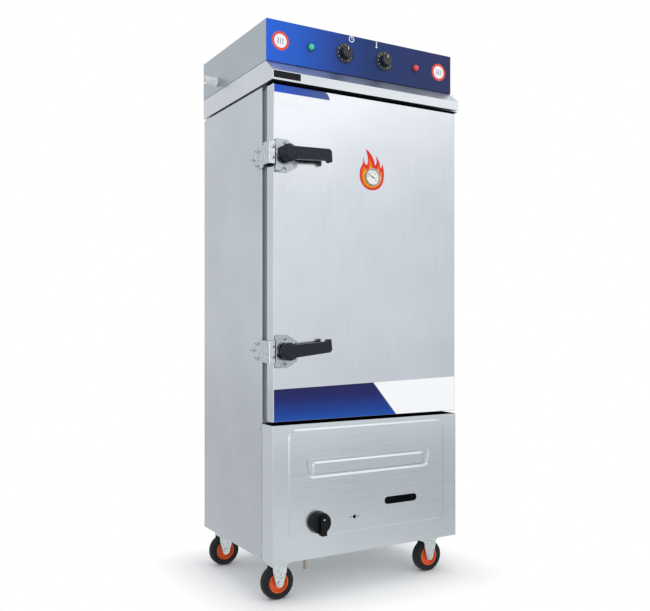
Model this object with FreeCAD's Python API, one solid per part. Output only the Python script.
import FreeCAD, Part
import math
import os

from FreeCAD import Vector

# Rice steamer cabinet: an insulated steel cupboard on four castors, with a stack of trays in a
# steam chamber, a water basin with electric elements and a gas ring below it, and a control
# housing on top.
# All lengths are millimetres. While it is built, x runs to the right from the cabinet's middle,
# y runs to the back from the door's front face, and z runs up from the floor.

# Driving dimensions of the case
CABINET_W = 700.0
CABINET_D = 537.0
SHEET = 1.2
SKIRT_Z = 121.0
COVER_H = 415.0
COVER_SEAM = 2.5
DOOR_W = 692.0
DOOR_H = 1014.0
DOOR_T = 42.0
DOOR_SHEET = 1.0
DOOR_GAP = 10.0
SEAL_GAP = 28.5
SEAL_W = 17.0
CANOPY_GAP = 9.0
CANOPY_W = 707.0
CANOPY_FRONT_Y = -10.0
CANOPY_BAND_H = 29.0
CANOPY_BEVEL_H = 37.0
CANOPY_LIFT = 6.0
NECK_INSET = 20.0
NECK_SETBACK = 12.0
HOUSING_FRONT_Y = 34.0
HOUSING_H = 129.0
HOUSING_SEAM = 1.6
FOLD_W = 14.0
TOP_FOLD_W = 26.0
LOUVRE_DEPTH = 6.0
LOUVRE_W = 90.0
LOUVRE_COLUMNS = (-210.0, -105.0, 0.0, 105.0, 210.0)
LOUVRE_ROWS = (210.0, 240.0, 270.0, 300.0)

# Pressings of the lower front cover
FIELD_HALF_W = 296.0
FIELD_HALF_H = 167.5
FIELD_Z = 353.5
FIELD_RISE = 3.0
GRIP_Z = 397.5

# Chamber, racks and trays
OPENING_HALF_W = 314.0
OPENING_MARGIN = 32.0
CHAMBER_BACK_Y = 502.0
TRAY_W = 600.0
TRAY_D = 400.0
TRAY_H = 48.0
TRAY_COUNT = 12
TRAY_PITCH = 76.0
TRAY_SHEET = 1.0
TRAY_FRONT_Y = 95.0
TRAY_LIP_H = 7.0
TRAY_RIM_W = 11.0
FIRST_TRAY_RIM_Z = 660.0
RAIL_INNER_X = 294.0
RAIL_OUTER_X = 311.8
RAIL_T = 1.5
RAIL_LEG_H = 14.0
RACK_Y = (80.0, 498.0)
RACK_POSTS_Y = (100.0, 290.0, 470.0)

# Water basin and its elements
TANK_HALF_W = 270.0
TANK_Y = (100.0, 470.0)
TANK_Z0 = 470.0
TANK_CORNER_R = 30.0
ELEMENT_R = 5.0
ELEMENT_Z = 500.0
ELEMENT_BEND_R = 32.0
ELEMENT_X = (-150.0, 0.0, 150.0)
ELEMENT_TAIL_Y = 492.0

# Gas ring and its shroud
BURNER_CENTRE = Vector(0, 285, 372)
BURNER_R = 95.0
BURNER_PORTS = 24
MIXER_X = -40.0
MIXER_DROP = 5.0
SHROUD_HALF_W = 180.0
SHROUD_Y = (140.0, 430.0)
SHROUD_Z = (396.0, 466.0)

# Door furniture
LATCH_X = -308.0
LATCH_Z = {"upper": 1350.0, "lower": 758.0}
LATCH_TILT = {"upper": 3.0, "lower": 5.5}
LATCH_BASE_T = 4.0
LATCH_BASE_DROP = {"upper": 5.0, "lower": 0.0}
LATCH_BODY_Y = -12.0
LEVER_REACH = 142.0
LEVER_FRONT_Y = -46.0
ARM_Y = (-43.0, -24.0)
BOSS_R = 27.0
BOSS_FACE_R = 17.5
CAM_Y = (-18.4, -12.4)
CAM_R = 20.0
NOSE_REACH = 30.0
NOSE_TIP_R = 8.0
SPINDLE_R = 7.0
KEEPER_T = 3.0
KEEPER_HALF_H = 33.0
KEEPER_LINE = ((-351.5, 110.0), (-351.5, 52.0), (-367.5, 22.0), (-367.5, -14.5), (-349.0, -14.5))
KEEPER_BEND_R = 10.0
HINGE_X = 358.5
HINGE_Y = 52.0
HINGE_H = 80.0
HINGE_KNUCKLE_R = 7.5
HINGE_LEAF_T = 3.0
FIXED_LEAF_SCREW_Y = 100.0
MOVING_LEAF_SCREW_Y = 20.0
PIN_R = 4.0
GAUGE_X = 5.0
GAUGE_Z = 1310.0
GAUGE_R = 28.0
GAUGE_DEPTH = 12.0
GAUGE_FACE = 7.0
GLASS_SEAT = 9.4
GLASS_R = 25.0
STEM_R = 4.0
NEEDLE_PIN_R = 1.2
NEEDLE_ANGLE = 152.0

# Controls
DIAL_X = 76.0
DIAL_Z = 1703.0
DIAL_SKIRT_R = 31.5
DIAL_GRIP_R = 19.0
DIAL_FRONT = 24.0
DIAL_FLUTES = 12
SHAFT_R = 3.0
LAMP_X = 201.0
LAMP_Z = 1700.0
LAMP_BODY_R = 7.5
LAMP_BEZEL_R = 12.5
LAMP_BEZEL_H = 3.0
LENS_R = 9.5
LENS_BARREL = 8.0
LENS_DOME = 6.0
GAS_X = -192.0
GAS_Z = 231.0
GAS_STEM_R = 4.0
SLOT_X = 117.5
SLOT_Z = 270.0
SLOT_LENGTH = 128.0
SLOT_H = 24.0
SPY_X = -61.5
SPY_Z = 233.0

# Water inlet, three-quarter inch pipe thread, and gas inlet
WATER_X = -CANOPY_W / 2
WATER_Y = 420.0
WATER_Z = 1672.0
WATER_R = 13.2
WATER_REACH = 42.0
WATER_PIPE_R = 6.0
WATER_PIPE_X = -290.0
WATER_PIPE_BACK_Y = 515.0
WATER_PIPE_LOW_X = -230.0
WATER_PIPE_LOW_Z = 535.0
GAS_PIPE_R = 8.0
GAS_PIPE_Y = 82.0
GAS_PIPE_LOW_Z = 66.0

# Castors
WHEEL_R = 52.0
WHEEL_W = 32.0
HUB_R = 32.0
CASTOR_TRAIL = 22.0
CASTOR_X = 286.0
CASTOR_Y = (52.0, 462.0)
CASTOR_BOLT_R = 4.0
CASTOR_PLATE_T = 3.0
KING_PIN_R = 6.0
FORK_TOP_Z = 117.6
FORK_HALF_W = 22.0
FORK_T = 3.0
AXLE_R = 5.0
AXLE_WASHER_T = 1.2
AXLE_HEAD_T = 5.0

# Fasteners, and the running clearance of everything that turns
SCREW_SHANK_R = 2.4
SCREW_HEAD_R = 5.5
SCREW_HEAD_H = 3.6
CLEARANCE = 0.05

# Worked-out heights and planes
COVER_TOP_Z = SKIRT_Z + COVER_H
DOOR_Z0 = COVER_TOP_Z + DOOR_GAP
DOOR_Z1 = DOOR_Z0 + DOOR_H
CANOPY_Z0 = DOOR_Z1 + CANOPY_GAP
BAND_TOP_Z = CANOPY_Z0 + CANOPY_BAND_H
HOUSING_Z0 = BAND_TOP_Z + CANOPY_BEVEL_H
ROOF_Z = HOUSING_Z0 + HOUSING_H
HALF_W = CABINET_W / 2
FRAME_Y = DOOR_T + SEAL_GAP
COVER_RETURN = FRAME_Y - COVER_SEAM
SIDE_TOP_Z = CANOPY_Z0 - CANOPY_LIFT
OPENING_Z0 = COVER_TOP_Z + OPENING_MARGIN
OPENING_Z1 = SIDE_TOP_Z - OPENING_MARGIN
LINER_HALF_W = OPENING_HALF_W + 2.0
BASE_Z = SKIRT_Z + 10.0
PANEL_FRONT_Y = HOUSING_FRONT_Y - 1.5
LINER_FLOOR_Z = OPENING_Z0 - 4.0

# The origin lies under the middle of the whole object, at floor level
WIDEST_LEFT = WATER_X - WATER_REACH
WIDEST_RIGHT = HINGE_X + HINGE_KNUCKLE_R
BACKMOST = CABINET_D + SCREW_HEAD_H
TO_ORIGIN = Vector(-(WIDEST_LEFT + WIDEST_RIGHT) / 2, -(LEVER_FRONT_Y + BACKMOST) / 2, 0)

X_AXIS = Vector(1, 0, 0)
Y_AXIS = Vector(0, 1, 0)
Z_AXIS = Vector(0, 0, 1)
TO_LEFT = Vector(-1, 0, 0)
TO_FRONT = Vector(0, -1, 0)


def block(x0, x1, y0, y1, z0, z1):
    """Box between two corners."""
    return Part.makeBox(x1 - x0, y1 - y0, z1 - z0, Vector(x0, y0, z0))


def rod(radius, start, end):
    """Round bar from one point to another."""
    along = end.sub(start)
    return Part.makeCylinder(radius, along.Length, start, along)


def cone(radius0, radius1, start, end):
    """Tapered round bar from one point to another."""
    along = end.sub(start)
    return Part.makeCone(radius0, radius1, along.Length, start, along)


def joined(shapes):
    """One solid from pieces that meet or overlap."""
    first, rest = shapes[0], shapes[1:]
    if not rest:
        return first
    return first.multiFuse(rest).removeSplitter()


def extruded(points, direction):
    """Prism on a closed polygon."""
    outline = Part.makePolygon(points + [points[0]])
    return Part.Face(outline).extrude(direction)


def bent_sheet(points, thickness, direction):
    """Folded sheet whose middle line follows the points."""
    outline = Part.makePolygon(points).makeOffset2D(thickness / 2, 2, False, False)
    return Part.Face(outline).extrude(direction)


def rounded_outline(points, radius):
    """Closed wire through the points, with an arc of the radius at every corner."""
    edges = []
    count = len(points)
    starts, ends, mids = [], [], []
    for i, corner in enumerate(points):
        to_prev = points[i - 1].sub(corner).normalize()
        to_next = points[(i + 1) % count].sub(corner).normalize()
        half = to_prev.getAngle(to_next) / 2
        reach = radius / math.tan(half)
        bisector = to_prev.add(to_next).normalize()
        starts.append(corner + to_prev * reach)
        ends.append(corner + to_next * reach)
        mids.append(corner + bisector * (radius / math.sin(half) - radius))
    for i in range(count):
        edges.append(Part.Arc(starts[i], mids[i], ends[i]).toShape())
        edges.append(Part.LineSegment(ends[i], starts[(i + 1) % count]).toShape())
    return Part.Wire(edges)


def rounded_box_outline(half_w, half_h, radius, centre, horizontal, vertical):
    """Rounded rectangle wire about a centre, in the plane of two unit vectors."""
    corners = [(-1, -1), (1, -1), (1, 1), (-1, 1)]
    points = [centre + horizontal * (half_w * sx) + vertical * (half_h * sy) for sx, sy in corners]
    return rounded_outline(points, radius)


def revolved(profile, centre, axis):
    """Solid of revolution: profile lists (radius, distance along the axis)."""
    across = X_AXIS if abs(axis.x) < 0.5 else Z_AXIS
    points = [centre + across * r + axis * h for r, h in profile]
    face = Part.Face(Part.makePolygon(points + [points[0]]))
    return face.revolve(centre, axis, 360)


def round_edges(solid, radius, wanted):
    """Fillet the edges whose centre and direction the test accepts."""
    edges = [e for e in solid.Edges if wanted(e.CenterOfMass, e.tangentAt(e.FirstParameter))]
    return solid.makeFillet(radius, edges)


def hexagon(radius, centre, run):
    """Hexagonal bar: corners on the radius about the centre, as long as the run."""
    upwards = abs(run.z) > abs(run.y)
    across = Y_AXIS if upwards else Z_AXIS
    corners = []
    for i in range(6):
        angle = math.radians(60 * i)
        corners.append(centre + (X_AXIS * math.cos(angle) + across * math.sin(angle)) * radius)
    return extruded(corners, run)


def moved(shape, offset):
    """Copy of a shape, shifted."""
    copy = shape.copy()
    copy.translate(offset)
    return copy


def turned(shape, centre, axis, degrees):
    """Copy of a shape, turned about an axis through a centre."""
    copy = shape.copy()
    copy.rotate(centre, axis, degrees)
    return copy


def mirrored_x(shape):
    """Copy of a shape on the other side of the middle plane."""
    return shape.mirror(Vector(0, 0, 0), X_AXIS)


def bent_rod(points, radius, bend_radius):
    """Round bar along straight runs, with a quarter-ring or other arc at every bend."""
    pieces = []
    last = points[0]
    for i in range(1, len(points) - 1):
        corner = points[i]
        to_prev = points[i - 1].sub(corner).normalize()
        to_next = points[i + 1].sub(corner).normalize()
        half = to_prev.getAngle(to_next) / 2
        reach = bend_radius / math.tan(half)
        start = corner + to_prev * reach
        end = corner + to_next * reach
        inwards = to_prev.add(to_next).normalize()
        centre = corner + inwards * (bend_radius / math.sin(half))
        axis = to_next.cross(to_prev).normalize()
        section = Part.Face(Part.Wire(Part.makeCircle(radius, start, to_prev)))
        pieces.append(rod(radius, last, start))
        pieces.append(section.revolve(centre, axis, 180 - math.degrees(2 * half)))
        last = end
    pieces.append(rod(radius, last, points[-1]))
    return joined(pieces)


def upright(point, direction):
    """True for an edge that runs straight up."""
    return abs(direction.z) > 0.99


# Screws: each is a domed head on a plain shank, and its hole is cut in what it passes through
def screw(seat, outward, shank_length):
    """Domed screw, its head standing on the seat point."""
    profile = [
        (0, -shank_length), (SCREW_SHANK_R, -shank_length), (SCREW_SHANK_R, 0), (SCREW_HEAD_R, 0),
        (SCREW_HEAD_R, SCREW_HEAD_H * 0.4), (SCREW_HEAD_R * 0.6, SCREW_HEAD_H), (0, SCREW_HEAD_H),
    ]
    return revolved(profile, seat, outward)


def screws_on(seats, outward, shank_length):
    """One screw on every seat."""
    return [screw(seat, outward, shank_length) for seat in seats]


def screw_holes(seats, outward, depth):
    """Clearance holes for the screws' shanks, a little deeper than the shanks."""
    radius = SCREW_SHANK_R + CLEARANCE * 2
    return [rod(radius, seat + outward * 5, seat - outward * depth) for seat in seats]


# Places of the fasteners
def keeper_screw_seats():
    """Three screws in a triangle on each latch keeper's side plate."""
    seats = []
    for z in LATCH_Z.values():
        for y, dz in ((97.0, 22.0), (126.0, 0.0), (97.0, -22.0)):
            seats.append(Vector(-HALF_W - KEEPER_T, y, z + dz))
    return seats


def strike_screw_seats():
    """Two screws in each keeper's front lip, which hold the strike bar behind it."""
    y = KEEPER_LINE[-1][1] - KEEPER_T / 2
    return [Vector(-354.5, y, z + dz) for z in LATCH_Z.values() for dz in (-16.0, 16.0)]


def hinge_screw_seats(x, y):
    """Three screws down each hinge leaf that lies at the given x and y."""
    return [Vector(x, y, z + dz) for z in LATCH_Z.values() for dz in (-28.0, 0.0, 28.0)]


def cover_screw_seats(side):
    """Two screws on one side that hold the lower cover's tabs behind the side panel."""
    return [Vector(side * HALF_W, COVER_RETURN + 12, z) for z in (COVER_TOP_Z - 15, SKIRT_Z + 5)]


def latch_base_screw_seats():
    """Four screws in the flange of each latch base."""
    seats = []
    for which, z in LATCH_Z.items():
        middle = Vector(LATCH_X, -LATCH_BASE_T, z - LATCH_BASE_DROP[which])
        for dx, dz in ((-1.0, 39.0), (-1.0, -39.0), (32.0, 23.0), (32.0, -23.0)):
            seats.append(middle + Vector(dx, 0, dz))
    return seats


def back_screw_seats():
    """Screws down both edges of the back panel, into the side panels' folds."""
    seats = []
    for x in (-342.0, 342.0):
        for z in (185.0, 520.0, 860.0, 1200.0, 1545.0):
            seats.append(Vector(x, CABINET_D, z))
    return seats


fixed_leaf_seats = hinge_screw_seats(HALF_W + HINGE_LEAF_T, FIXED_LEAF_SCREW_Y)
moving_leaf_seats = hinge_screw_seats(DOOR_W / 2 + HINGE_LEAF_T, MOVING_LEAF_SCREW_Y)
keeper_holes = screw_holes(keeper_screw_seats(), TO_LEFT, 10)
strike_holes = screw_holes(strike_screw_seats(), TO_FRONT, 8)
fixed_leaf_holes = screw_holes(fixed_leaf_seats, X_AXIS, 10)
cover_holes = screw_holes(cover_screw_seats(-1), TO_LEFT, 6) + screw_holes(cover_screw_seats(1), X_AXIS, 6)
back_holes = screw_holes(back_screw_seats(), Y_AXIS, 6)
case_holes = keeper_holes + fixed_leaf_holes + cover_holes + back_holes


# Cabinet case
def side_panel():
    """Left side panel: one sheet with its edges folded inwards; below, it meets the cover's return."""
    outer = -HALF_W
    inner = outer + SHEET
    back = CABINET_D - SHEET
    wall = block(outer, inner, FRAME_Y, back, SKIRT_Z, SIDE_TOP_Z)
    front_fold = block(outer, -OPENING_HALF_W, FRAME_Y, FRAME_Y + SHEET, COVER_TOP_Z, SIDE_TOP_Z)
    back_fold = block(outer, inner + FOLD_W, back - SHEET, back, SKIRT_Z, SIDE_TOP_Z)
    top_fold = block(outer, inner + TOP_FOLD_W, FRAME_Y, back, SIDE_TOP_Z - SHEET, SIDE_TOP_Z)
    low_fold = block(outer, inner + FOLD_W, FRAME_Y + 0.5, back, SKIRT_Z, SKIRT_Z + SHEET)
    panel = joined([wall, front_fold, back_fold, top_fold, low_fold])
    cover_room = block(outer - 1, inner + 20, 0, FRAME_Y + 0.5, 0, COVER_TOP_Z + 2)
    panel = panel.cut(cover_room)
    return round_edges(panel, 2.0, lambda p, d: upright(p, d) and abs(p.x - outer) < 0.01
                       and (abs(p.y - FRAME_Y) < 0.01 or abs(p.y - back) < 0.01))


def louvre(x, z):
    """Pressed louvre, the form that the sheet is bent inwards to: half a round bar, cut square."""
    start = Vector(x - LOUVRE_W / 2, CABINET_D, z)
    bar = rod(LOUVRE_DEPTH, start, start + X_AXIS * LOUVRE_W)
    upper_half = block(x - LOUVRE_W, x + LOUVRE_W, CABINET_D - 10, CABINET_D, z, z + 10)
    return bar.common(upper_half)


def back_panel():
    """Back sheet with folded edges and a field of louvres behind the burner."""
    panel = block(-HALF_W, HALF_W, CABINET_D - SHEET, CABINET_D, SKIRT_Z, SIDE_TOP_Z)
    lips = []
    for z, side_fold in ((SKIRT_Z, FOLD_W), (SIDE_TOP_Z - SHEET, TOP_FOLD_W)):
        lip_half = HALF_W - SHEET - side_fold - 1
        lips.append(block(-lip_half, lip_half, CABINET_D - 12, CABINET_D, z, z + SHEET))
    panel = joined([panel] + lips)
    hoods = [louvre(x, z) for x in LOUVRE_COLUMNS for z in LOUVRE_ROWS]
    hollows = [moved(hood, Vector(0, SHEET, -SHEET * 0.6)) for hood in hoods]
    return panel.multiFuse(hoods).cut(hollows).cut(back_holes)


def base_pan():
    """Floor of the cabinet: a pan with its rim turned up, slotted to let air reach the burner."""
    half, front, back = HALF_W - SHEET, 3.0, CABINET_D - 3
    outer = block(-half, half, front, back, BASE_Z, BASE_Z + 34)
    inner = block(-half + 2, half - 2, front + 2, back - 2, BASE_Z + 2, BASE_Z + 40)
    pan = outer.cut(inner)
    slots = []
    for i in range(6):
        for x in (-80.0, 80.0):
            y = 190.0 + i * 30
            slots.append(block(x - 65, x + 65, y - 5, y + 5, BASE_Z - 1, BASE_Z + 3))
    gas_foot = Vector(GAS_X, GAS_PIPE_Y, BASE_Z - 1)
    gas_hole = rod(GAS_PIPE_R + 1, gas_foot, gas_foot + Z_AXIS * 4)
    bolt_holes = [rod(CASTOR_BOLT_R + 0.2, p - Z_AXIS * 10, p + Z_AXIS * 5) for p in castor_bolt_places()]
    return pan.cut(slots + [gas_hole] + bolt_holes)


def opening_rails():
    """Top and bottom rails between the side panels' front folds, bent like shallow channels."""
    rails = []
    half = OPENING_HALF_W - 0.3
    for z0, z1 in ((COVER_TOP_Z, OPENING_Z0), (OPENING_Z1, SIDE_TOP_Z)):
        y0, y1 = FRAME_Y + SHEET / 2, FRAME_Y + 22
        z_low, z_high = z0 + SHEET / 2, z1 - SHEET / 2
        if z0 == COVER_TOP_Z:
            y1_low, y1_high = y1, FRAME_Y + 6
        else:
            y1_low, y1_high = FRAME_Y + 6, y1
        points = [Vector(-half, y1_low, z_low), Vector(-half, y0, z_low),
                  Vector(-half, y0, z_high), Vector(-half, y1_high, z_high)]
        rails.append(bent_sheet(points, SHEET, Vector(2 * half, 0, 0)))
    return Part.makeCompound(rails)


def chamber_liner():
    """Inner box of the steam chamber: five walls with a lip behind the front frame."""
    t = 1.0
    front = FRAME_Y + SHEET
    outer = block(-LINER_HALF_W, LINER_HALF_W, front, CHAMBER_BACK_Y, LINER_FLOOR_Z, OPENING_Z1 + 4)
    inner = block(-LINER_HALF_W + t, LINER_HALF_W - t, front - 1, CHAMBER_BACK_Y - t,
                  LINER_FLOOR_Z + t, OPENING_Z1 + 4 - t)
    box = outer.cut(inner)
    lip_half = LINER_HALF_W + 14
    lip_out = block(-lip_half, lip_half, front, front + t, LINER_FLOOR_Z - 2, OPENING_Z1 + 16)
    lip_in = block(-LINER_HALF_W, LINER_HALF_W, front - 1, front + 2, LINER_FLOOR_Z, OPENING_Z1 + 4)
    basin_hole = block(-TANK_HALF_W, TANK_HALF_W, TANK_Y[0], TANK_Y[1], LINER_FLOOR_Z - 1, LINER_FLOOR_Z + 2)
    liner = joined([box, lip_out.cut(lip_in)])
    return liner.cut(basin_hole)


def element_legs():
    """Both leg positions of every heating element, as x values."""
    return [x + side * ELEMENT_BEND_R for x in ELEMENT_X for side in (-1, 1)]


def water_tank():
    """Water basin below the chamber floor: a pan with round corners and an out-turned rim."""
    middle = Vector(0, (TANK_Y[0] + TANK_Y[1]) / 2, TANK_Z0)
    half_d = (TANK_Y[1] - TANK_Y[0]) / 2
    t = 1.5

    def level(inset, z):
        centre = Vector(0, middle.y, z)
        return rounded_box_outline(TANK_HALF_W - inset, half_d - inset, TANK_CORNER_R - inset * 0.5,
                                   centre, X_AXIS, Y_AXIS)

    rim_z = LINER_FLOOR_Z
    outer = Part.Face(level(0, TANK_Z0)).extrude(Z_AXIS * (rim_z - TANK_Z0))
    inner = Part.Face(level(t, TANK_Z0 + t)).extrude(Z_AXIS * (rim_z - TANK_Z0))
    rim = Part.Face(level(-14, rim_z - t)).extrude(Z_AXIS * t)
    tank = joined([outer, rim]).cut(inner)
    holes = []
    for x in element_legs():
        start = Vector(x, TANK_Y[1] - 20, ELEMENT_Z)
        holes.append(rod(ELEMENT_R + 0.2, start, start + Y_AXIS * 25))
    water = Vector(WATER_PIPE_LOW_X, TANK_Y[1] - 10, WATER_PIPE_LOW_Z)
    holes.append(rod(WATER_PIPE_R + 0.2, water, water + Y_AXIS * 20))
    return tank.cut(holes)


def heating_elements():
    """Three hairpin tube elements under the water, with insulated tails behind the basin."""
    elements = []
    for x in ELEMENT_X:
        left, right = x - ELEMENT_BEND_R, x + ELEMENT_BEND_R
        turn_y = TANK_Y[0] + 60
        points = [Vector(left, ELEMENT_TAIL_Y, ELEMENT_Z), Vector(left, turn_y - ELEMENT_BEND_R, ELEMENT_Z),
                  Vector(right, turn_y - ELEMENT_BEND_R, ELEMENT_Z), Vector(right, ELEMENT_TAIL_Y, ELEMENT_Z)]
        hairpin = bent_rod(points, ELEMENT_R, ELEMENT_BEND_R - 0.01)
        caps = [rod(8, Vector(side, TANK_Y[1], ELEMENT_Z), Vector(side, TANK_Y[1] + 8, ELEMENT_Z))
                for side in (left, right)]
        elements.append(joined([hairpin] + caps))
    return Part.makeCompound(elements)


def wall_insulation():
    """Slabs of insulation between the liner and the outer walls."""
    gap = 2.4
    side_front, top_front = FRAME_Y + 10, FRAME_Y + 16
    side = block(-HALF_W + SHEET + gap, -LINER_HALF_W, side_front, CHAMBER_BACK_Y, OPENING_Z0, OPENING_Z1)
    back = block(-265, LINER_HALF_W, CHAMBER_BACK_Y, CABINET_D - 14, OPENING_Z0, OPENING_Z1)
    top = block(-LINER_HALF_W, LINER_HALF_W, top_front, CHAMBER_BACK_Y, OPENING_Z1 + 4, SIDE_TOP_Z - 4)
    return Part.makeCompound([side, mirrored_x(side), back, top])


def tray_rack():
    """Left rack: three uprights and an angle runner for every tray, welded together."""
    pieces = []
    wall_x = -LINER_HALF_W + 1.0
    rack_low = FIRST_TRAY_RIM_Z - 60
    rack_high = FIRST_TRAY_RIM_Z + (TRAY_COUNT - 1) * TRAY_PITCH + 20
    for y in RACK_POSTS_Y:
        pieces.append(block(wall_x, -RAIL_OUTER_X, y - 12, y + 12, rack_low, rack_high))
    for i in range(TRAY_COUNT):
        top = FIRST_TRAY_RIM_Z + i * TRAY_PITCH - TRAY_LIP_H
        points = [Vector(-RAIL_INNER_X, RACK_Y[0], top - RAIL_T / 2),
                  Vector(-RAIL_OUTER_X + RAIL_T / 2, RACK_Y[0], top - RAIL_T / 2),
                  Vector(-RAIL_OUTER_X + RAIL_T / 2, RACK_Y[0], top + RAIL_LEG_H)]
        pieces.append(bent_sheet(points, RAIL_T, Vector(0, RACK_Y[1] - RACK_Y[0], 0)))
    return joined(pieces)


def rice_tray(rim_z):
    """Deep tray: tapered walls, round corners, and a flat rim with a lip turned down."""
    t = TRAY_SHEET
    middle_y = TRAY_FRONT_Y + TRAY_D / 2

    def level(inset, corner, z):
        centre = Vector(0, middle_y, z)
        return rounded_box_outline(TRAY_W / 2 - inset, TRAY_D / 2 - inset, corner, centre, X_AXIS, Y_AXIS)

    taper = 6.0
    low_z = rim_z - TRAY_H
    outer = Part.makeLoft([level(TRAY_RIM_W + taper, 22, low_z), level(TRAY_RIM_W, 26, rim_z)], True, True)
    inner = Part.makeLoft([level(TRAY_RIM_W + taper + t, 21, low_z + t),
                           level(TRAY_RIM_W + t, 25, rim_z + 0.01)], True, True)
    rim = Part.Face(level(0, 30, rim_z - TRAY_LIP_H)).extrude(Z_AXIS * TRAY_LIP_H)
    under_rim = Part.Face(level(t, 29, rim_z - TRAY_LIP_H - 1)).extrude(Z_AXIS * (TRAY_LIP_H + 1 - t))
    return joined([rim.cut(under_rim), outer]).cut(inner)


# Burner compartment
def burner_shroud():
    """Sheet collar round the flames, on four legs that stand on the base pan, with a cross strap."""
    half_x, t = SHROUD_HALF_W, 1.5
    y0, y1 = SHROUD_Y
    collar = block(-half_x, half_x, y0, y1, *SHROUD_Z).cut(
        block(-half_x + t, half_x - t, y0 + t, y1 - t, SHROUD_Z[0] - 1, SHROUD_Z[1] + 1))
    legs = []
    for x in (-half_x, half_x - 20):
        for y in (y0, y1 - 20):
            foot_z = BASE_Z + 2
            angle = block(x, x + 20, y, y + 20, foot_z, SHROUD_Z[0] + 10)
            hollow_x = x + t if x < 0 else x - t
            hollow_y = y + t if y < 200 else y - t
            legs.append(angle.cut(block(hollow_x, hollow_x + 20, hollow_y, hollow_y + 20, foot_z - 1, 900)))
    strap_z = BURNER_CENTRE.z - 16
    straps = [block(-half_x, half_x, y - 10, y + 10, strap_z - 3, strap_z) for y in (215.0, 355.0)]
    ties = [block(x, x + t, y0, y1, strap_z - 12, strap_z) for x in (-half_x, half_x - t)]
    return joined([collar] + legs + straps + ties)


def ring_burner():
    """Cast ring burner: a ring with slanted shoulders and flame ports, and its mixing tube."""
    c = BURNER_CENTRE
    ring = revolved([(BURNER_R - 18, -16), (BURNER_R + 18, -16), (BURNER_R + 18, 2),
                     (BURNER_R + 8, 14), (BURNER_R - 8, 14), (BURNER_R - 18, 2)], c, Z_AXIS)
    ports = []
    for i in range(BURNER_PORTS):
        angle = 2 * math.pi * i / BURNER_PORTS
        outward = Vector(math.cos(angle), math.sin(angle), 0)
        start = c + outward * BURNER_R + Z_AXIS * 4
        ports.append(rod(2.2, start, start + Z_AXIS * 20))
    mixer_end = Vector(MIXER_X, c.y - BURNER_R + 4, c.z - MIXER_DROP)
    mixer_start = Vector(mixer_end.x, 120, mixer_end.z)
    mixer = rod(10, mixer_start, mixer_end)
    bell = cone(15, 10, mixer_start - Y_AXIS * 16, mixer_start)
    jet_room = rod(5.2, mixer_start - Y_AXIS * 20, mixer_start + Y_AXIS * 16)
    return joined([ring, mixer, bell]).cut(ports + [jet_room])


def gas_valve():
    """Brass tap behind the lower cover, with the inlet nipple that stands out below the skirt."""
    centre = Vector(GAS_X, 0, GAS_Z)
    body = rod(15, centre + Y_AXIS * 14, centre + Y_AXIS * 70)
    cap = rod(19, centre + Y_AXIS * 18, centre + Y_AXIS * 34)
    elbow = block(GAS_X - 13, GAS_X + 13, GAS_PIPE_Y - 13, GAS_PIPE_Y + 13, GAS_Z - 18, GAS_Z + 14)
    outlet = rod(8, centre + Vector(0, 55, 0), centre + Vector(28, 55, 0))
    stem_bore = rod(GAS_STEM_R + CLEARANCE, centre + Y_AXIS * 10, centre + Y_AXIS * 32)
    tap = joined([body, cap, elbow, outlet]).cut(stem_bore)
    foot = Vector(GAS_X, GAS_PIPE_Y, GAS_PIPE_LOW_Z)
    collar = Vector(GAS_X, GAS_PIPE_Y, BASE_Z + 2)
    nipple = joined([
        rod(GAS_PIPE_R, foot, Vector(GAS_X, GAS_PIPE_Y, GAS_Z - 18)),
        rod(GAS_PIPE_R + 4, collar, collar + Z_AXIS * 16),
    ])
    return Part.makeCompound([tap, nipple])


def gas_pipe():
    """Feed pipe from the tap to the burner's jet."""
    start = Vector(GAS_X + 28, 55, GAS_Z)
    jet_z = BURNER_CENTRE.z - MIXER_DROP
    points = [start, Vector(-110, 55, GAS_Z), Vector(-110, 55, jet_z), Vector(MIXER_X, 55, jet_z),
              Vector(MIXER_X, 118, jet_z)]
    return bent_rod(points, 4.5, 18)


def water_pipe():
    """Feed pipe from the inlet valve down behind the chamber and into the basin."""
    points = [Vector(WATER_PIPE_X, WATER_Y, WATER_Z - 34), Vector(WATER_PIPE_X, WATER_Y, 1598),
              Vector(WATER_PIPE_X, WATER_PIPE_BACK_Y, 1598),
              Vector(WATER_PIPE_X, WATER_PIPE_BACK_Y, WATER_PIPE_LOW_Z),
              Vector(WATER_PIPE_LOW_X, WATER_PIPE_BACK_Y, WATER_PIPE_LOW_Z),
              Vector(WATER_PIPE_LOW_X, TANK_Y[1] - 12, WATER_PIPE_LOW_Z)]
    return bent_rod(points, WATER_PIPE_R, 16)


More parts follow.
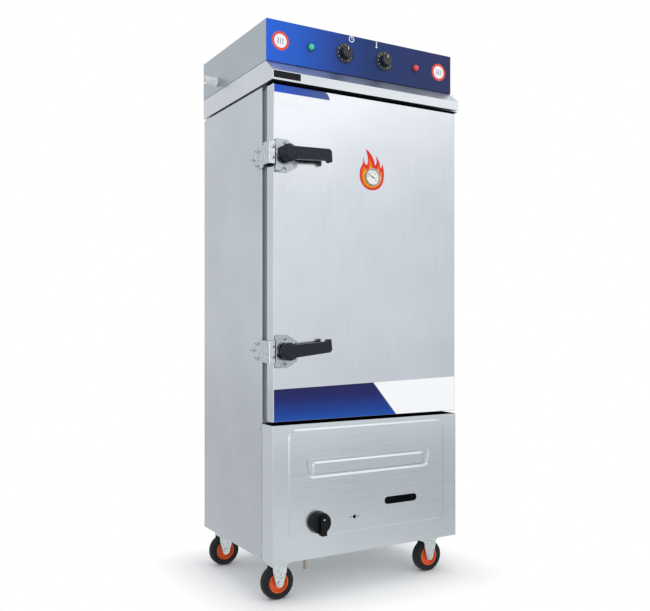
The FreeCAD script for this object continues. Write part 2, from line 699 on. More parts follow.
def cover_press_form():
    """Block whose front face has the cover's pressings: a raised field, a groove and a raised pad."""
    def field(inset, corner, y):
        centre = Vector(0, y, FIELD_Z)
        return rounded_box_outline(FIELD_HALF_W - inset, FIELD_HALF_H - inset, corner, centre, X_AXIS, Z_AXIS)

    def wedge(inset, corner, y):
        half_top, half_low, half_h = 239 - inset, 225 - inset, 30 - inset
        points = [Vector(-half_low, y, GRIP_Z - half_h), Vector(half_low, y, GRIP_Z - half_h),
                  Vector(half_top, y, GRIP_Z + half_h), Vector(-half_top, y, GRIP_Z + half_h)]
        return rounded_outline(points, corner)

    def pad(inset, corner, y):
        centre = Vector(0, y, GRIP_Z - 1)
        return rounded_box_outline(212 - inset, 20 - inset, corner, centre, X_AXIS, Z_AXIS)

    form = block(-HALF_W, HALF_W, 0, 30, SKIRT_Z, COVER_TOP_Z)
    form = form.fuse(Part.makeLoft([field(0, 26, 0), field(5, 22, -FIELD_RISE)], True, True))
    groove = Part.makeLoft([wedge(-0.5, 14, -FIELD_RISE - 0.1), wedge(6, 9, 1)], True, True)
    raised = Part.makeLoft([pad(0, 8, 1.01), pad(5, 5, -FIELD_RISE + 0.5)], True, True)
    return form.cut(groove).fuse(raised)


def lower_front_cover():
    """U-shaped front cover with pressings, ignition slot, spy holes and side returns with tabs."""
    form = cover_press_form()
    skin = form.cut(moved(form, Vector(0, SHEET, 0)))
    inner = HALF_W - SHEET
    returns, tabs = [], []
    for side in (-1, 1):
        x0, x1 = sorted((side * HALF_W, side * inner))
        returns.append(block(x0, x1, 0, COVER_RETURN, SKIRT_Z, COVER_TOP_Z))
        x0, x1 = sorted((side * inner, side * (inner - SHEET)))
        for z0, z1 in ((COVER_TOP_Z - 30, COVER_TOP_Z - 4), (SKIRT_Z + 1.5, BASE_Z - 0.5)):
            tabs.append(block(x0, x1, COVER_RETURN - 18, COVER_RETURN + 24, z0, z1))
    top_fold = block(-inner, inner, 0.5, 55, COVER_TOP_Z - SHEET, COVER_TOP_Z)
    low_fold = block(-inner, inner, 0.5, 2.9, SKIRT_Z, SKIRT_Z + 8)
    cover = joined([skin] + returns + tabs + [top_fold, low_fold])
    cover = round_edges(cover, 1.8, lambda p, d: upright(p, d) and abs(abs(p.x) - HALF_W) < 0.01
                        and abs(p.y) < 0.01)
    knob_hole = rod(GAS_STEM_R + 3, Vector(GAS_X, -10, GAS_Z), Vector(GAS_X, 10, GAS_Z))
    return cover.cut(ignition_openings() + [knob_hole] + cover_holes)


def ignition_openings():
    """Long rounded slot, and three round spy holes beside the gas knob."""
    end = SLOT_LENGTH / 2 - SLOT_H / 2
    cuts = [block(SLOT_X - end, SLOT_X + end, -10, 10, SLOT_Z - SLOT_H / 2, SLOT_Z + SLOT_H / 2)]
    for x in (SLOT_X - end, SLOT_X + end):
        cuts.append(rod(SLOT_H / 2, Vector(x, -10, SLOT_Z), Vector(x, 10, SLOT_Z)))
    for dx, radius in ((-14.0, 2.2), (0.0, 6.0), (14.0, 2.2)):
        start = Vector(SPY_X + dx, -10, SPY_Z)
        cuts.append(rod(radius, start, start + Y_AXIS * 20))
    return cuts


# Top: canopy, control housing and fascia
def canopy():
    """Tray over the cabinet with a front band, a bevel above it and a neck down to the side panels."""
    half = CANOPY_W / 2
    t = SHEET

    def section(points, half_w):
        return extruded([Vector(-half_w, y, z) for y, z in points], Vector(2 * half_w, 0, 0))

    outer = section([(CANOPY_FRONT_Y, CANOPY_Z0), (CANOPY_FRONT_Y, BAND_TOP_Z), (HOUSING_FRONT_Y, HOUSING_Z0),
                     (CABINET_D, HOUSING_Z0), (CABINET_D, CANOPY_Z0)], half)
    inner = section([(CANOPY_FRONT_Y + t, CANOPY_Z0 + t), (CANOPY_FRONT_Y + t, BAND_TOP_Z - t * 0.4),
                     (HOUSING_FRONT_Y + t * 0.3, HOUSING_Z0 - t), (CABINET_D - t, HOUSING_Z0 - t),
                     (CABINET_D - t, CANOPY_Z0 + t)], half - t)
    wiring_hole = block(-300, 180, 90, 500, HOUSING_Z0 - 5, HOUSING_Z0 + 5)
    neck_half, neck_front, neck_back = HALF_W - NECK_INSET, FRAME_Y + NECK_SETBACK, CABINET_D - 6.8
    neck_out = block(-neck_half, neck_half, neck_front, neck_back, SIDE_TOP_Z, CANOPY_Z0 + t)
    neck_in = block(-neck_half + t, neck_half - t, neck_front + t, neck_back - t,
                    SIDE_TOP_Z - 1, CANOPY_Z0 + 3)
    shell = outer.cut(inner).cut([wiring_hole, neck_in])
    return joined([shell, neck_out.cut(neck_in)])


def control_housing():
    """Box that covers the controls, open below, on a lip set in from its walls."""
    half = CANOPY_W / 2
    t = SHEET

    def level_box(inset, z0, z1):
        return block(-half + inset, half - inset, HOUSING_FRONT_Y + inset, CABINET_D - inset, z0, z1)

    low_z = HOUSING_Z0 + HOUSING_SEAM
    outer = level_box(0, low_z, ROOF_Z)
    outer = round_edges(outer, 1.5, lambda p, d: p.z > ROOF_Z - 0.01 and p.y > HOUSING_FRONT_Y + 1)
    walls = outer.cut(level_box(t, HOUSING_Z0 - 1, ROOF_Z - t))
    web = level_box(t * 0.5, low_z + 6, low_z + 6 + t).cut(level_box(6 + t, HOUSING_Z0, ROOF_Z))
    lip = level_box(6, HOUSING_Z0, low_z + 6 + t).cut(level_box(6 + t, HOUSING_Z0 - 1, ROOF_Z))
    water = Vector(WATER_X, WATER_Y, WATER_Z)
    water_hole = rod(WATER_R + 0.3, water - X_AXIS * 5, water + X_AXIS * 5)
    return joined([walls, web, lip]).cut(fascia_holes() + [water_hole])


def fascia_holes():
    """Holes through the fascia and the housing's front wall for knob shafts and lamps."""
    holes = []
    for x, z, radius in ((-DIAL_X, DIAL_Z, 5.0), (DIAL_X, DIAL_Z, 5.0),
                         (-LAMP_X, LAMP_Z, LAMP_BODY_R + 0.2), (LAMP_X, LAMP_Z, LAMP_BODY_R + 0.2)):
        holes.append(rod(radius, Vector(x, HOUSING_FRONT_Y - 5, z), Vector(x, HOUSING_FRONT_Y + 5, z)))
    return holes


def control_panel():
    """Printed fascia plate in front of the control housing."""
    half = CANOPY_W / 2
    plate = block(-half, half, PANEL_FRONT_Y, HOUSING_FRONT_Y, HOUSING_Z0 + HOUSING_SEAM, ROOF_Z)
    return plate.cut(fascia_holes())


def lamp_bezels():
    """Black rings round both pilot lamps."""
    profile = [(LENS_R, 0), (LAMP_BEZEL_R, 0), (LAMP_BEZEL_R, LAMP_BEZEL_H - 1.5),
               (LAMP_BEZEL_R - 1.5, LAMP_BEZEL_H), (LENS_R, LAMP_BEZEL_H)]
    seats = [Vector(x, PANEL_FRONT_Y, LAMP_Z) for x in (-LAMP_X, LAMP_X)]
    return Part.makeCompound([revolved(profile, seat, TO_FRONT) for seat in seats])


def pilot_lamp(x):
    """Pilot lamp: domed lens in front of a barrel that passes through the fascia."""
    seat = Vector(x, PANEL_FRONT_Y, LAMP_Z)
    dome = []
    for i in range(7):
        angle = math.radians(15 * i)
        dome.append((LENS_R * math.cos(angle), LENS_BARREL + LENS_DOME * math.sin(angle)))
    dome[-1] = (0, LENS_BARREL + LENS_DOME)
    profile = [(0, -28), (LAMP_BODY_R, -28), (LAMP_BODY_R, 0), (LENS_R, 0)] + dome
    return revolved(profile, seat, TO_FRONT)


def switch_bodies():
    """Timer, thermostat and contactor bodies inside the housing."""
    bodies = []
    for x in (-DIAL_X, DIAL_X):
        front = Vector(x, HOUSING_FRONT_Y, DIAL_Z)
        shell = block(x - 24, x + 24, front.y + SHEET, front.y + 42, DIAL_Z - 24, DIAL_Z + 24)
        bodies.append(shell.cut(rod(SHAFT_R + CLEARANCE, front, front + Y_AXIS * 16)))
    bodies.append(block(200, 280, 380, 470, HOUSING_Z0, HOUSING_Z0 + 70))
    return Part.makeCompound(bodies)


def dial_knob(x):
    """Control knob: flat dial skirt, fluted grip and a shaft into the switch behind the fascia."""
    centre = Vector(x, PANEL_FRONT_Y, DIAL_Z)
    forward = TO_FRONT
    skirt = revolved([(0, 0.6), (DIAL_SKIRT_R - 1, 0.6), (DIAL_SKIRT_R, 2), (DIAL_SKIRT_R - 4, 4.5),
                      (0, 4.5)], centre, forward)
    grip = revolved([(0, 4), (DIAL_GRIP_R + 1, 4), (DIAL_GRIP_R - 1, DIAL_FRONT - 2),
                     (DIAL_GRIP_R - 3, DIAL_FRONT), (0, DIAL_FRONT)], centre, forward)
    flutes = []
    for i in range(DIAL_FLUTES):
        angle = 2 * math.pi * i / DIAL_FLUTES
        foot = centre + Vector(math.cos(angle), 0, math.sin(angle)) * (DIAL_GRIP_R + 2.4)
        flutes.append(rod(3.2, foot + forward * 6, foot + forward * 30))
    grip = grip.cut(flutes)
    shaft = rod(SHAFT_R, centre + forward * 2, centre - forward * 14)
    return joined([skirt, grip, shaft])


def water_inlet_valve():
    """Plastic inlet: threaded barrel outside, flange on the wall, and the valve's body inside."""
    seat = Vector(WATER_X, WATER_Y, WATER_Z)
    outward = TO_LEFT
    flange_t = 6.0
    barrel = rod(WATER_R, seat, seat + outward * WATER_REACH)
    mouth = rod(WATER_R - 4, seat + outward * 12, seat + outward * (WATER_REACH + 1))
    core = rod(4.5, seat + outward * 8, seat + outward * (WATER_REACH - 6))
    flange = rod(WATER_R + 2.6, seat, seat + outward * flange_t)
    stem = rod(WATER_R, seat, seat - outward * 8)
    body = block(WATER_X + 8, WATER_X + 50, WATER_Y - 18, WATER_Y + 18, WATER_Z - 16, WATER_Z + 16)
    coil_foot = Vector(WATER_PIPE_X - 10, WATER_Y, WATER_Z + 16)
    coil = rod(15, coil_foot, coil_foot + Z_AXIS * 34)
    spout_top = Vector(WATER_PIPE_X, WATER_Y, WATER_Z - 16)
    arm = block(WATER_X + 50, WATER_PIPE_X + 12, WATER_Y - 10, WATER_Y + 10, WATER_Z - 16, WATER_Z)
    spout = rod(9, spout_top, spout_top - Z_AXIS * 18)
    outside = joined([barrel, flange]).cut(mouth)
    return joined([outside, core, stem, body, coil, arm, spout])


# Latches
def latch_keepers():
    """Keepers of bent plate: screwed to the left side, stepped outwards, folded in before the nose."""
    keepers = []
    for z in LATCH_Z.values():
        low = z - KEEPER_HALF_H
        line = [Vector(x, y, low) for x, y in KEEPER_LINE]
        bracket = bent_sheet(line, KEEPER_T, Z_AXIS * (2 * KEEPER_HALF_H))
        outer_x, front_y = line[3].x - KEEPER_T / 2, line[3].y - KEEPER_T / 2
        inner_x, inner_y = outer_x + KEEPER_T, front_y + KEEPER_T
        bracket = round_edges(bracket, KEEPER_BEND_R - KEEPER_T, lambda p, d: upright(p, d)
                              and abs(p.x - inner_x) < 0.01 and abs(p.y - inner_y) < 0.01)
        bracket = round_edges(bracket, KEEPER_BEND_R, lambda p, d: upright(p, d)
                              and abs(p.x - outer_x) < 0.01 and abs(p.y - front_y) < 0.01)
        side = [(74, -KEEPER_HALF_H), (100, -KEEPER_HALF_H), (136, -14), (136, 14), (100, KEEPER_HALF_H),
                (74, KEEPER_HALF_H)]
        points = [Vector(-HALF_W - KEEPER_T, y, z + dz) for y, dz in side]
        plate = Part.Face(rounded_outline(points, 6)).extrude(X_AXIS * KEEPER_T)
        bracket_end = block(-HALF_W - 5, -HALF_W + 1, 90, 120, low - 1, z + KEEPER_HALF_H + 1)
        strike = block(-358.0, -349.5, inner_y, inner_y + 4, z - 25, z + 25)
        keepers.append(joined([bracket.cut(bracket_end), plate, strike]).cut(keeper_holes + strike_holes))
    return Part.makeCompound(keepers)


def latch_bases():
    """Latch bases on the door: a screwed flange and a raised body, bored for the spindle."""
    bases = []
    flange_outline = [(-37, -50), (8, -50), (44, -28), (44, 28), (8, 50), (-37, 50)]
    body_outline = [(-36, -48), (-17, -48), (-6, -30), (30, -15), (30, 15), (-6, 30), (-17, 48), (-36, 48)]
    holes = screw_holes(latch_base_screw_seats(), TO_FRONT, 10)
    for which, z in LATCH_Z.items():
        middle_z = z - LATCH_BASE_DROP[which]
        flange_line = [Vector(LATCH_X + dx, -LATCH_BASE_T, middle_z + dz) for dx, dz in flange_outline]
        flange = Part.Face(rounded_outline(flange_line, 10)).extrude(Y_AXIS * LATCH_BASE_T)
        body_line = [Vector(LATCH_X + dx, LATCH_BODY_Y, middle_z + dz) for dx, dz in body_outline]
        body = Part.Face(rounded_outline(body_line, 4)).extrude(Y_AXIS * (-LATCH_BODY_Y - 1))
        body = round_edges(body, 3, lambda p, d: p.y < LATCH_BODY_Y + 0.01)
        centre = Vector(LATCH_X, 0, z)
        bore = rod(SPINDLE_R + CLEARANCE, centre - Y_AXIS * 20, centre + Y_AXIS * 1)
        bases.append(joined([flange, body]).cut([bore] + holes))
    return Part.makeCompound(bases)


def latch_cam(which):
    """Cam: a disc with a nose towards the keeper, on a spindle that turns in the base."""
    centre = Vector(LATCH_X, 0, LATCH_Z[which])
    front, back = CAM_Y
    disc = rod(CAM_R, centre + Y_AXIS * front, centre + Y_AXIS * back)
    tip_x = centre.x - NOSE_REACH
    nose_points = [Vector(tip_x, front, centre.z - NOSE_TIP_R), Vector(centre.x, front, centre.z - 14),
                   Vector(centre.x, front, centre.z + 14), Vector(tip_x, front, centre.z + NOSE_TIP_R)]
    nose = extruded(nose_points, Y_AXIS * (back - front))
    tip = rod(NOSE_TIP_R, Vector(tip_x, front, centre.z), Vector(tip_x, back, centre.z))
    spindle = rod(SPINDLE_R, centre + Y_AXIS * back, centre - Y_AXIS * 0.5)
    return joined([disc, nose, tip, spindle])


def latch_lever(which):
    """Moulded lever: a boss with a wide bevel, and a long arm whose end has a finger lip."""
    centre = Vector(LATCH_X, 0, LATCH_Z[which])
    back, bevel, front = -CAM_Y[0], 35.0, -LEVER_FRONT_Y
    boss = revolved([(0, back), (BOSS_R - 2, back), (BOSS_R, back + 3), (BOSS_R, bevel),
                     (BOSS_FACE_R, front), (0, front)], centre, TO_FRONT)
    outline = [(10, -19), (LEVER_REACH - 17, -17.5), (LEVER_REACH - 9, -24), (LEVER_REACH, -23),
               (LEVER_REACH, 10), (LEVER_REACH - 7, 17), (10, 19.5)]
    flip = 1
    if which == "lower":
        flip = -1
        outline = outline[::-1]
    points = [Vector(centre.x + dx, ARM_Y[0], centre.z + flip * dz) for dx, dz in outline]
    arm = Part.Face(rounded_outline(points, 2.5)).extrude(Y_AXIS * (ARM_Y[1] - ARM_Y[0]))
    arm = round_edges(arm, 2.0, lambda p, d: p.y < ARM_Y[0] + 0.01)
    return turned(joined([boss, arm]), centre, Y_AXIS, -LATCH_TILT[which])


# Door
def door_skin():
    """Outer door pan: front face, four sides and a return all round the back."""
    half = DOOR_W / 2
    t = DOOR_SHEET
    outer = block(-half, half, 0, DOOR_T, DOOR_Z0, DOOR_Z1)
    outer = round_edges(outer, 2.5, lambda p, d: p.y < 0.01)
    inner = block(-half + t, half - t, t, DOOR_T - t, DOOR_Z0 + t, DOOR_Z1 - t)
    inner = round_edges(inner, 1.5, lambda p, d: p.y < t + 0.01)
    opening = block(-half + 26, half - 26, 10, DOOR_T + 1, DOOR_Z0 + 26, DOOR_Z1 - 26)
    skin = outer.cut(inner).cut(opening)
    return skin.cut(door_holes())


def door_holes():
    """Holes through the door for the gauge's stem, the latch screws and the hinge screws."""
    holes = [rod(STEM_R + 0.2, Vector(GAUGE_X, -5, GAUGE_Z), Vector(GAUGE_X, 60, GAUGE_Z))]
    holes += screw_holes(latch_base_screw_seats(), TO_FRONT, 16)
    return holes + screw_holes(moving_leaf_seats, X_AXIS, 12)


def door_liner():
    """Inner door sheet, its edge behind the pan's return and its raised field in the opening."""
    half_w, half_h = DOOR_W / 2 - 14, DOOR_H / 2 - 14
    middle_z = (DOOR_Z0 + DOOR_Z1) / 2
    seat_y = DOOR_T - DOOR_SHEET

    def field(inset, corner, y):
        centre = Vector(0, y, middle_z)
        return rounded_box_outline(half_w - inset, half_h - inset, corner, centre, X_AXIS, Z_AXIS)

    form = block(-half_w, half_w, 30, seat_y, middle_z - half_h, middle_z + half_h)
    form = form.fuse(Part.makeLoft([field(18, 22, seat_y), field(25, 16, seat_y + 6)], True, True))
    liner = form.cut(moved(form, Vector(0, -SHEET, 0)))
    return liner.cut(door_holes())


def door_insulation():
    """Slab of insulation that fills the door."""
    half = DOOR_W / 2 - 2.5
    slab = block(-half, half, DOOR_SHEET, DOOR_T - DOOR_SHEET - SHEET, DOOR_Z0 + 2.5, DOOR_Z1 - 2.5)
    return slab.cut(door_holes())


def door_gasket():
    """Silicone seal round the door's back, with a lip groove that opens inwards."""
    y0, y1 = DOOR_T, FRAME_Y - 0.5
    half_w, width = DOOR_W / 2 - 4, SEAL_W
    z0, z1 = DOOR_Z0 + 4, DOOR_Z1 - 4

    def frame(inset, depth, low_y, high_y):
        outer = block(-half_w + inset, half_w - inset, low_y, high_y, z0 + inset, z1 - inset)
        inner = block(-half_w + inset + depth, half_w - inset - depth, low_y - 1, high_y + 1,
                      z0 + inset + depth, z1 - inset - depth)
        return outer.cut(inner)

    return frame(0, width, y0, y1).cut(frame(4, width, y0 + 5, y1 - 4))


def cabinet_hinge_leaves():
    """Fixed hinge leaves on the right side panel, each with an upper and a lower knuckle."""
    leaves = []
    for z in LATCH_Z.values():
        pieces = [block(HALF_W, HALF_W + HINGE_LEAF_T, 72, 122, z - HINGE_H / 2, z + HINGE_H / 2)]
        for z0, z1 in ((z - HINGE_H / 2, z - 14), (z + 14, z + HINGE_H / 2)):
            pieces.append(rod(HINGE_KNUCKLE_R, Vector(HINGE_X, HINGE_Y, z0), Vector(HINGE_X, HINGE_Y, z1)))
            pieces.append(block(HALF_W + 0.8, HALF_W + 4, HINGE_Y - 1, 73, z0, z1))
        pin_bore = rod(PIN_R + CLEARANCE, Vector(HINGE_X, HINGE_Y, z - 60), Vector(HINGE_X, HINGE_Y, z + 60))
        leaf = joined(pieces)
        leaf = round_edges(leaf, 8, lambda p, d: abs(d.x) > 0.99 and p.y > 121)
        leaves.append(leaf.cut([pin_bore] + fixed_leaf_holes))
    return Part.makeCompound(leaves)


def door_hinge_leaves():
    """Moving hinge leaves on the door's right edge, each with a middle knuckle."""
    edge = DOOR_W / 2
    leaves = []
    for z in LATCH_Z.values():
        plate = block(edge, edge + HINGE_LEAF_T, 5, 38, z - HINGE_H / 2, z + HINGE_H / 2)
        plate = round_edges(plate, 8, lambda p, d: abs(d.x) > 0.99 and p.y < 6)
        z0, z1 = z - 13.6, z + 13.6
        web = extruded([Vector(edge, 36, z0), Vector(edge + HINGE_LEAF_T, 36, z0),
                        Vector(HINGE_X, HINGE_Y - HINGE_KNUCKLE_R + 1, z0),
                        Vector(HINGE_X - 6, HINGE_Y, z0), Vector(edge, 40, z0)], Z_AXIS * (z1 - z0))
        knuckle = rod(HINGE_KNUCKLE_R, Vector(HINGE_X, HINGE_Y, z0), Vector(HINGE_X, HINGE_Y, z1))
        pin_bore = rod(PIN_R, Vector(HINGE_X, HINGE_Y, z - 60), Vector(HINGE_X, HINGE_Y, z + 60))
        holes = screw_holes(moving_leaf_seats, X_AXIS, 12)
        leaves.append(joined([plate, web, knuckle]).cut([pin_bore] + holes))
    return Part.makeCompound(leaves)


def hinge_pins():
    """Hinge pins with a domed head on top of the upper knuckle."""
    pins = []
    for z in LATCH_Z.values():
        foot = Vector(HINGE_X, HINGE_Y, z - HINGE_H / 2 - 2)
        head = Vector(HINGE_X, HINGE_Y, z + HINGE_H / 2 + 0.3)
        pins.append(joined([rod(PIN_R, foot, head), rod(6, head, head + Z_AXIS * 3)]))
    return Part.makeCompound(pins)


def thermometer_case():
    """Gauge case with a rolled rim, a recessed face, and the stem that reaches into the chamber."""
    centre = Vector(GAUGE_X, 0, GAUGE_Z)
    profile = [(0, 0), (GAUGE_R - 2, 0), (GAUGE_R - 0.5, 3), (GAUGE_R, 8), (GAUGE_R - 0.8, GAUGE_DEPTH - 0.6),
               (GAUGE_R - 2.2, GAUGE_DEPTH), (GLASS_R + 0.1, GAUGE_DEPTH - 0.8), (GLASS_R + 0.1, GLASS_SEAT),
               (GLASS_R - 0.9, GLASS_SEAT), (GLASS_R - 0.9, GAUGE_FACE), (0, GAUGE_FACE)]
    case = revolved(profile, centre, TO_FRONT)
    stem = rod(STEM_R, centre, centre + Y_AXIS * 84)
    pivot = rod(NEEDLE_PIN_R + CLEARANCE, centre - Y_AXIS * (GAUGE_FACE - 2), centre - Y_AXIS * 12)
    return joined([case, stem]).cut(pivot)


def thermometer_needle():
    """Pointer on a small pin that turns in the gauge's face."""
    centre = Vector(GAUGE_X, -GAUGE_FACE, GAUGE_Z)
    hub = rod(2.6, centre - Y_AXIS * 0.5, centre - Y_AXIS * 1.6)
    pin = rod(NEEDLE_PIN_R, centre + Y_AXIS * 1.5, centre - Y_AXIS * 0.5)
    plan = [(-8, -1.6), (0, -1.8), (19, -0.6), (19, 0.6), (0, 1.8), (-8, 1.6)]
    points = [Vector(centre.x + dx, centre.y - 0.8, centre.z + dz) for dx, dz in plan]
    pointer = extruded(points, TO_FRONT * 0.6)
    return turned(joined([hub, pin, pointer]), centre, Y_AXIS, -NEEDLE_ANGLE)


def gauge_glass():
    """Flat window of the gauge."""
    centre = Vector(GAUGE_X, 0, GAUGE_Z)
    return rod(GLASS_R, centre - Y_AXIS * GLASS_SEAT, centre - Y_AXIS * (GLASS_SEAT + 1.2))


def gas_knob():
    """Gas knob: a straight round body and a grip across it that ends in a pointer."""
    centre = Vector(GAS_X, 0, GAS_Z)
    body = revolved([(0, 3.5), (33, 3.5), (34, 6), (33.5, 12), (32.5, 24), (30.5, 27), (0, 27)],
                    centre, TO_FRONT)
    grip_outline = [(-10, -36), (10, -36), (10, 21), (-10, 21)]
    grip_points = [Vector(GAS_X + dx, -22, GAS_Z + dz) for dx, dz in grip_outline]
    grip = Part.Face(rounded_outline(grip_points, 3)).extrude(TO_FRONT * 18)
    grip = round_edges(grip, 2, lambda p, d: p.y < -39.99)
    stem = rod(GAS_STEM_R, centre + TO_FRONT * 6, centre - TO_FRONT * 30)
    return joined([body, grip, stem])


# Castors
def castor_places():
    """Swivel centres of the four castors by name, at floor level."""
    names = {}
    for end, y in zip(("front", "rear"), CASTOR_Y):
        for side, sign in (("left", -1), ("right", 1)):
            names[end + "_" + side] = Vector(sign * CASTOR_X, y, 0)
    return names


def castor_bolt_places():
    """Four bolt centres per castor plate, on the underside of the plates."""
    places = []
    for centre in castor_places().values():
        for dx in (-34, 34):
            for dy in (-24, 24):
                places.append(centre + Vector(dx, dy, BASE_Z - CASTOR_PLATE_T))
    return places


def castor_plates():
    """Top plates with a raceway cup and the king pin riveted below it."""
    plates = []
    for centre in castor_places().values():
        low = centre + Z_AXIS * (BASE_Z - CASTOR_PLATE_T)
        outline = rounded_box_outline(45, 35, 6, low, X_AXIS, Y_AXIS)
        plate = Part.Face(outline).extrude(Z_AXIS * CASTOR_PLATE_T)
        cup = rod(27, low, centre + Z_AXIS * (FORK_TOP_Z + 0.5))
        pin = rod(KING_PIN_R, low, centre + Z_AXIS * 108.5)
        rivet = rod(KING_PIN_R + 3, centre + Z_AXIS * 108.5, centre + Z_AXIS * 106)
        holes = [rod(CASTOR_BOLT_R + 0.2, p - Z_AXIS * 2, p + Z_AXIS * 6) for p in castor_bolt_places()]
        plates.append(joined([plate, cup, pin, rivet]).cut(holes))
    return Part.makeCompound(plates)


def castor_bolts():
    """Hexagon bolts that hold the castor plates under the base pan."""
    bolts = []
    for place in castor_bolt_places():
        head = hexagon(7, place, Z_AXIS * -5)
        shank = rod(CASTOR_BOLT_R, place - Z_AXIS * 1, place + Z_AXIS * 10)
        bolts.append(joined([head, shank]))
    return Part.makeCompound(bolts)


def castor_fork(centre):
    """Pressed fork: a swivel head, a crown boxed over the tyre and two tapered legs with the axle."""
    wheel_x = centre.x - CASTOR_TRAIL
    inner = FORK_HALF_W - FORK_T
    crown_z = 104.0
    head = rod(28, centre + Z_AXIS * 111, centre + Z_AXIS * FORK_TOP_Z)
    crown = block(wheel_x - 24, centre.x + 6, centre.y - FORK_HALF_W, centre.y + FORK_HALF_W, crown_z, 114)
    under = block(wheel_x - 24 + FORK_T, centre.x + 6 - FORK_T, centre.y - inner, centre.y + inner, 90, 111)
    back_wall = block(wheel_x - 24, wheel_x - 24 + FORK_T, centre.y - FORK_HALF_W, centre.y + FORK_HALF_W,
                      WHEEL_R * 2 - 2, 112)
    legs = []
    for y in (centre.y - FORK_HALF_W, centre.y + inner):
        outline = [(-24, 112), (-23, 86), (-13, WHEEL_R), (13, WHEEL_R), (23, 86), (24, 112)]
        points = [Vector(wheel_x + dx, y, z) for dx, z in outline]
        leg = extruded(points, Y_AXIS * FORK_T)
        foot = rod(13, Vector(wheel_x, y, WHEEL_R), Vector(wheel_x, y + FORK_T, WHEEL_R))
        legs.append(joined([leg, foot]))
    axle_line = (Vector(wheel_x, centre.y - 40, WHEEL_R), Vector(wheel_x, centre.y + 40, WHEEL_R))
    bore = rod(KING_PIN_R + CLEARANCE, centre + Z_AXIS * 100, centre + Z_AXIS * 120)
    rivet_room = rod(KING_PIN_R + 4, centre + Z_AXIS * 100, centre + Z_AXIS * 111)
    axle_bore = rod(AXLE_R + 0.1, *axle_line)
    fork = joined([head, crown] + legs + [back_wall]).cut([under, bore, rivet_room, axle_bore])
    axle = [rod(AXLE_R, Vector(wheel_x, centre.y - FORK_HALF_W - 2, WHEEL_R),
                Vector(wheel_x, centre.y + FORK_HALF_W + 2, WHEEL_R))]
    for side in (-1, 1):
        leg_face = Vector(wheel_x, centre.y + side * FORK_HALF_W, WHEEL_R)
        head_face = leg_face + Y_AXIS * (side * AXLE_WASHER_T)
        axle.append(rod(9.5, leg_face, head_face))
        axle.append(hexagon(8.5, head_face, Y_AXIS * (side * AXLE_HEAD_T)))
    return Part.makeCompound([fork, joined(axle)])


def castor_hub(centre):
    """Wheel hub: rim, recessed web and a centre boss that runs on the axle."""
    middle = Vector(centre.x - CASTOR_TRAIL, centre.y, WHEEL_R)
    half = WHEEL_W / 2
    bore = AXLE_R + CLEARANCE
    section = [(bore, -half), (12, -half), (14, -7), (HUB_R - 6, -7), (HUB_R - 4, 2 - half),
               (HUB_R, 2 - half)]
    mirrored = [(r, -h) for r, h in reversed(section)]
    return revolved(section + mirrored, middle, Y_AXIS)


def castor_tyre(centre):
    """Solid rubber tyre with rounded shoulders."""
    middle = Vector(centre.x - CASTOR_TRAIL, centre.y, WHEEL_R)
    half = WHEEL_W / 2
    section = [(HUB_R, 2 - half), (HUB_R + 2, -half), (WHEEL_R - 7, -half), (WHEEL_R - 2, 3 - half),
               (WHEEL_R, 8 - half)]
    mirrored = [(r, -h) for r, h in reversed(section)]
    return revolved(section + mirrored, middle, Y_AXIS)


def cabinet_screws():
    """Screws of the keepers, hinge leaves, lower cover and back panel."""
    screws = screws_on(keeper_screw_seats(), TO_LEFT, 6)
    screws += screws_on(strike_screw_seats(), TO_FRONT, 6)
    screws += screws_on(fixed_leaf_seats, X_AXIS, 6)
    screws += screws_on(cover_screw_seats(-1), TO_LEFT, 4)
    screws += screws_on(cover_screw_seats(1), X_AXIS, 4)
    screws += screws_on(back_screw_seats(), Y_AXIS, 4)
    return Part.makeCompound(screws)


def door_screws():
    """Screws of the latch bases and the door's hinge leaves."""
    screws = screws_on(latch_base_screw_seats(), TO_FRONT, 10)
    screws += screws_on(moving_leaf_seats, X_AXIS, 8)
    return Part.makeCompound(screws)


def tray_stack():
    """All the trays, one on every runner."""
    return Part.makeCompound([rice_tray(FIRST_TRAY_RIM_Z + i * TRAY_PITCH) for i in range(TRAY_COUNT)])


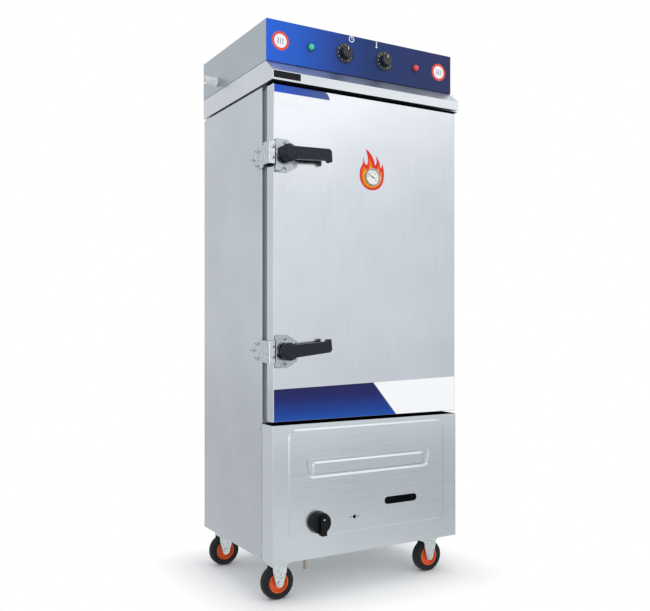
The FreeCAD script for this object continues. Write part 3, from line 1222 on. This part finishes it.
def build():
    """Every sub-part by name, in place."""
    left_side = side_panel()
    parts = {
        "left_side_panel": left_side.cut(case_holes),
        "right_side_panel": mirrored_x(left_side).cut(case_holes),
        "back_panel": back_panel(),
        "base_pan": base_pan(),
        "opening_rails": opening_rails(),
        "chamber_liner": chamber_liner(),
        "wall_insulation": wall_insulation(),
        "tray_racks": Part.makeCompound([tray_rack(), mirrored_x(tray_rack())]),
        "rice_trays": tray_stack(),
        "water_tank": water_tank(),
        "heating_elements": heating_elements(),
        "burner_shroud": burner_shroud(),
        "ring_burner": ring_burner(),
        "gas_valve": gas_valve(),
        "gas_pipe": gas_pipe(),
        "water_pipe": water_pipe(),
        "lower_front_cover": lower_front_cover(),
        "canopy": canopy(),
        "control_housing": control_housing(),
        "control_panel": control_panel(),
        "lamp_bezels": lamp_bezels(),
        "green_lamp": pilot_lamp(-LAMP_X),
        "red_lamp": pilot_lamp(LAMP_X),
        "switch_bodies": switch_bodies(),
        "water_inlet_valve": water_inlet_valve(),
        "latch_keepers": latch_keepers(),
        "cabinet_hinge_leaves": cabinet_hinge_leaves(),
        "cabinet_screws": cabinet_screws(),
        "castor_plates": castor_plates(),
        "castor_bolts": castor_bolts(),
        "door_skin": door_skin(),
        "door_liner": door_liner(),
        "door_insulation": door_insulation(),
        "door_gasket": door_gasket(),
        "door_hinge_leaves": door_hinge_leaves(),
        "hinge_pins": hinge_pins(),
        "latch_bases": latch_bases(),
        "door_screws": door_screws(),
        "thermometer_case": thermometer_case(),
        "thermometer_needle": thermometer_needle(),
        "gauge_glass": gauge_glass(),
        "timer_knob": dial_knob(-DIAL_X),
        "thermostat_knob": dial_knob(DIAL_X),
        "gas_knob": gas_knob(),
    }
    for which in LATCH_Z:
        parts[which + "_latch_cam"] = latch_cam(which)
        parts[which + "_latch_lever"] = latch_lever(which)
    for place, centre in castor_places().items():
        parts[place + "_fork"] = castor_fork(centre)
        parts[place + "_hub"] = castor_hub(centre)
        parts[place + "_tyre"] = castor_tyre(centre)
    return parts


def main():
    """Write one file per sub-part, moved to the origin."""
    os.makedirs("parts", exist_ok=True)
    for name, shape in build().items():
        placed = moved(shape, TO_ORIGIN)
        placed.exportStep("parts/" + name + ".step")
        box = placed.BoundBox
        print(name, len(placed.Solids), "solids", round(box.XLength), round(box.YLength), round(box.ZLength))


main()
